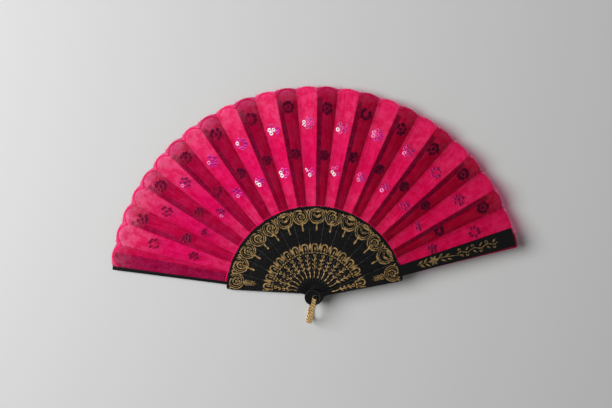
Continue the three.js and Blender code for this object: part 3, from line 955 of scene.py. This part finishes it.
def mirrored(part):
    bpy.ops.object.select_all(action="DESELECT")
    copy = part.copy()
    copy.data = part.data.copy()
    scene.collection.objects.link(copy)
    copy.data.transform(Matrix.Scale(-1, 4, (1, 0, 0)))
    copy.data.flip_normals()
    return copy


def both(part):
    return [part, mirrored(part)]


def joinParts(name, parts):
    bpy.ops.object.select_all(action="DESELECT")
    for part in parts:
        part.select_set(True)
    bpy.context.view_layer.objects.active = parts[0]
    if len(parts) > 1:
        bpy.ops.object.join()
    made = bpy.context.object
    made.name = name
    solid = made.modifiers.new("thick", "SOLIDIFY")
    solid.thickness = gold["thick"] * mm
    solid.offset = 1
    bpy.ops.object.modifier_apply(modifier="thick")
    return made


# the open round border that every rosette shares, with beads at its shoulders
def border():
    parts = [
        stroke(-5.4, 92.0, 130, 0.85, [(8.4, 140, 1.15), (8.4, 140, 0.85)]),
        stroke(-4.1, 90.5, 130, 0.45, [(6.4, 140, 0.65), (6.4, 140, 0.45)], 0.004),
    ]
    parts += both(petal(-8.7, 90.6, 30, 2.8, 1.3, 0.008, 8))
    return parts


# the two flowers that fill the border: a plain cup and a scrolled rose
def cup():
    return border() + [
        petal(0, 91.2, 0, 4.6, 9.4, 0.004, 20),
        stroke(-4.4, 88.0, 180, 0.4, [(4.4, 90, 0.8), (4.4, 90, 0.4)], 0.012),
        stroke(-2.6, 87.4, 180, 0.6, [(2.6, 90, 1.3), (2.6, 90, 0.6)], 0.012),
    ]


def rose():
    heart, petals = 85.2, 3.8
    parts = border() + [
        stroke(-4.4, 91.6, -75, 1.1, [(7.5, -30, 1.5), (7.5, -22, 0.9)], 0.008),
        stroke(0.5, heart + 0.1, 0, 0.5, [(0.9, 150, 0.6), (1.8, 150, 0.7), (2.6, 130, 0.65),
                                          (3.7, 120, 0.6), (4.6, 70, 0.25)], 0.012),
        petal(0, heart, 0, 1.3, 1.2, 0.016),
    ]
    for turn in (15, 65, 115, 180, 245, 295, 345):
        dx, dy = petals * math.sin(math.radians(turn)), petals * math.cos(math.radians(turn))
        parts.append(petal(-dx, heart + dy, turn + 90, 2.8, 1.2, 0.02, 8, 0.4))
    return parts


# the tail under each rosette, shorter on the inner sticks than on the guards
def shortTail():
    return [
        stroke(0, 77.9, 180, 4.4, [("on", 1.1, 2.0), ("on", 1.5, 1.15), ("on", 4.6, 2.0), ("on", 1.1, 0.9)], 0.004),
    ] + both(stroke(-1.0, 77.6, 112, 0.9, [(4.2, -36, 0.7), (1.2, -90, 0.3)], 0.008))


def longTail():
    parts = [stroke(0, 77.4, 180, 1.1, [("on", 13.6, 0.35)], 0.004)]
    for i in range(6):
        y, wide = 76.2 - 1.9 * i, 3.4 - 0.46 * i
        parts += both(stroke(-0.2, y, 100, 0.8, [(5.0, 10 + wide * 5, 0.7), (0.8, 90, 0.3)], 0.008 + 0.002 * i))
    return parts


# the lower column: beads with side leaves, a pair of curls, and an arch with a petal in it and one at each side
def column(x):
    parts = []
    for i, y in enumerate((20.6, 24.9, 29.2, 33.6, 38.2)):
        size = 1 + 0.1 * i
        parts.append(petal(x, y, 8 if i % 2 else -8, 4.4, 1.0 * size, 0.006, 8, 0.4))
        if i > 1:
            parts.append(petal(x - 1.3 * size, y - 0.6, 24, 2.7, 0.6 * size, 0.01, 8, 0.3))
            parts.append(petal(x + 1.3 * size, y + 0.9, -24, 2.7, 0.6 * size, 0.01, 8, 0.3))
    for side in (-1, 1):
        curl = [(1.5, side * 150, 0.85), (0.8, side * 130, 0.4)]
        parts.append(stroke(x + side * 0.4, 41.0, -side * 50, 0.6, curl, 0.006))
        parts.append(petal(x + side * 3.0, 45.6, -side * 70, 2.8, 1.2, 0.01, 8))
    arch = [("on", 5.2, 1.3), (2.9, -92, 1.5), (2.9, -92, 1.3), ("on", 5.2, 0.8)]
    parts.append(petal(x, 46.2, 90, 3.0, 1.6, 0.012, 10))
    parts.append(stroke(x - 3.1, 46.9, 4, 0.9, arch, 0.004))
    parts.append(petal(x, 50.0, 0, 4.2, 1.3, 0.008, 8, 0.8))
    parts.append(petal(x - 4.9, 52.0, 8, 7.4, 1.5, 0.012, 10, 0.8))
    parts.append(petal(x + 4.4, 51.4, -10, 6.6, 1.3, 0.014, 10, 0.8))
    return parts


# the front guard's blade: a flower between leaf sprays, then a running vine of curls and leaves
vine = {
    "flower": (-0.4, 131), "petals": 6, "curls": 6, "from": 160.2, "step": 7.35,
    "leaves": ((-2.4, 117, 30, 5.0), (1.8, 118, -34, 5.4), (-2.8, 122.5, 38, 5.0), (2.4, 124, -40, 4.6),
               (-3.2, 139, 36, 5.6), (2.2, 141, -30, 6.0), (-1.8, 146, 20, 5.0), (2.6, 147.5, -26, 4.4)),
}


def sprig():
    parts = [stroke(-0.6, 113.5, -6, 0.4, [(60, 14, 0.7), (60, -22, 0.7), (50, 14, 0.4)])]
    for x, y, angle, length in vine["leaves"]:
        parts.append(petal(x, y, angle, length, 1.8, 0.006, 10, 0.9))
    x, y = vine["flower"]
    for turn in range(0, 360, 360 // vine["petals"]):
        dx, dy = 3.0 * math.sin(math.radians(turn)), 3.0 * math.cos(math.radians(turn))
        parts.append(petal(x - dx, y + dy, turn, 4.4, 2.6, 0.01 + turn / 30000))
    parts.append(petal(x, y, 0, 2.0, 1.9, 0.03))
    parts.append(stroke(0, 156.5, 35, 0.5, [(6.4, 70 if i % 2 else -70, 0.8) for i in range(vine["curls"])]))
    for i in range(vine["curls"]):
        y, side = vine["from"] + i * vine["step"], 1 if i % 2 else -1
        curl = [(2.2, -side * 150, 1.0), (1.2, -side * 150, 0.7), (0.7, -side * 90, 0.4)]
        parts.append(stroke(side * 0.9, y - 2.2, side * 20, 0.55, curl, 0.006))
        parts.append(petal(-side * 2.6, y + 0.4, side * 42, 4.2, 1.7, 0.01, 8, 0.7))
    return parts


# copies of the modelled print, each with its own mesh, laid on a stick
def layPrint(source, name, k, material, turn=0.0):
    made = bpy.data.objects.new(name, source.data.copy())
    scene.collection.objects.link(made)
    angle = math.radians(heading(k) + turn)
    height = stickTop(k) + gold["above"]
    made.data.transform(Matrix.Translation(Vector((0, 0, height)) * mm) @ Matrix.Rotation(angle, 4, "Z"))
    made.data.materials.clear()
    made.data.materials.append(material)
    points = meshPoints(made)
    radius = np.hypot(points[:, 0], points[:, 1])
    # painted highlight share for the gold glints, highest at the glint radius
    addValues(made, "glint", np.clip(1.15 - np.abs(radius - gold["glintAt"]) / gold["glintWide"], 0.0, 1.0))
    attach(made, stickBody(k))


# the rib lines and the head rim carry the painted edge highlights of the rib material
edgeLine = stroke(-2.7, 15.5, 5.95, 0.2, [("on", 30, 0.34), ("on", 44, 0.3)])
prints = {
    "rib": joinParts("rib_print", both(edgeLine)),
    "cup": joinParts("cup_print", cup() + shortTail() + column(gold["shift"])),
    "rose": joinParts("rose_print", rose() + shortTail() + column(gold["shift"])),
    "guard": joinParts("guard_print", rose() + longTail() + column(0.0)),
    "sprig": joinParts("sprig_print", sprig()),
    "head": joinParts("head_print", [ring(0, -2.6, 8.1, 0.45, 48)]),
}
for k in range(lastStick + 1):
    design = "guard" if isGuard(k) else "cup" if k in gold["cups"] else "rose"
    layPrint(prints[design], "gold_print_%02d" % k, k, goldMaterial, 0.0 if isGuard(k) else gold["turn"])
    layPrint(prints["rib"], "rib_%02d" % k, k, ribMaterial)
layPrint(prints["sprig"], "gold_sprig", lastStick, goldMaterial)
layPrint(prints["head"], "head_rim", lastStick, ribMaterial)
print("gold print faces", {name: len(source.data.polygons) for name, source in prints.items()})
for source in prints.values():
    bpy.data.objects.remove(source)

# gold metal for the loop, with the slanting ridges of a twisted wire, darker in the grooves between them as painted
# shade
metal = {
    "colour": (1.0, 0.70, 0.29, 1), "grooveShade": (0.42, 0.22, 0.05, 1), "metallic": 0.8, "roughness": 0.24,
    "pitch": 3.3, "slant": 0.8, "loopEdge": 0.45, "rivetEdge": 0.15, "bump": (0.9, 0.0012),
}


def makeMetal():
    material, shader, place = newMaterial("gold_metal")
    grain = place.noise(900.0, 3.0, 0.6)
    across = place.axis(1) + place.axis(0) * metal["slant"]
    wave = (across * (2000 * math.pi / metal["pitch"]) + grain * 2.0).sin() * 0.5 + 0.5
    colour = (wave + grain * 0.5).step(0.2, 0.7).mix(metal["grooveShade"], metal["colour"])
    setInputs(place, shader, Base_Color=colour, Metallic=metal["metallic"],
              Roughness=metal["roughness"] + grain * 0.2, Normal=bump(place, wave + grain * 0.6, *metal["bump"]))
    return material


finishSolid("hanging_loop", makeMetal(), metal["loopEdge"])
finishSolid("rivet", plasticMaterial, metal["rivetEdge"])
finishSolid("rivet_cap", plasticMaterial, metal["rivetEdge"])
print("metal")

# each sheet's cut size and area are read back; nothing more is done with them
for (kind, k), made in facets.items():
    flat, area = sheets[kind, k]

# the table, its light and the camera
floor = {"size": 4, "colour": (0.60, 0.605, 0.60, 1), "roughness": 0.7}
light = {
    "lamp": (-1.40, 0.55, 1.48), "aim": (0.0, 0.10, 0.0), "size": 1.4, "power": 53.0,
    "white": (1.0, 1.0, 1.0, 1), "fill": 0.13, "sky": 0.38,
}
camera = {
    "place": (-5.633, 167.043, 788.269), "lens": 43.381, "sensor": 36,
    "across": (0.997823, -0.065252, 0.009532),
    "up": (0.06584, 0.993913, -0.088324),
    "back": (-0.003711, 0.08876, 0.996046),
}


def makeFloor():
    bpy.ops.mesh.primitive_plane_add(size=floor["size"], location=(0, 0, 0))
    made = bpy.context.object
    made.name = "table"
    material, shader, place = newMaterial("table")
    setInputs(place, shader, Base_Color=floor["colour"], Roughness=floor["roughness"])
    made.data.materials.append(material)


def makeLamp():
    lamp = bpy.data.lights.new("lamp", "AREA")
    lamp.shape = "DISK"
    lamp.size = light["size"]
    lamp.energy = light["power"]
    made = bpy.data.objects.new("lamp", lamp)
    scene.collection.objects.link(made)
    made.location = light["lamp"]
    aim = Vector(light["aim"]) - Vector(light["lamp"])
    made.rotation_mode = "QUATERNION"
    made.rotation_quaternion = aim.to_track_quat("-Z", "Y")


# a soft fill from all sides, and a paler sky where the camera, gloss and glass see it
def makeWorld():
    world = bpy.data.worlds.new("world")
    world.use_nodes = True
    scene.world = world
    tree = world.node_tree
    back = tree.nodes["Background"]
    back.inputs["Color"].default_value = light["white"]
    path = tree.nodes.new("ShaderNodeLightPath")
    rays = ("Is Camera Ray", "Is Glossy Ray", "Is Transmission Ray")
    seen, gloss, glass = (Wire(tree, path.outputs[name]) for name in rays)
    share = seen.math("MAXIMUM", seen, seen.math("MAXIMUM", gloss, glass))
    strength = share * (light["sky"] - light["fill"]) + light["fill"]
    tree.links.new(strength.socket, back.inputs["Strength"])


def makeCamera():
    data = bpy.data.cameras.new("camera")
    data.lens = camera["lens"]
    data.sensor_width = camera["sensor"]
    made = bpy.data.objects.new("camera", data)
    scene.collection.objects.link(made)
    turn = Matrix((camera["across"], camera["up"], camera["back"])).transposed().to_4x4()
    made.matrix_world = Matrix.Translation(Vector(camera["place"]) * mm) @ turn
    scene.camera = made


makeFloor()
makeLamp()
makeWorld()
makeCamera()
scene.view_settings.view_transform = "Standard"
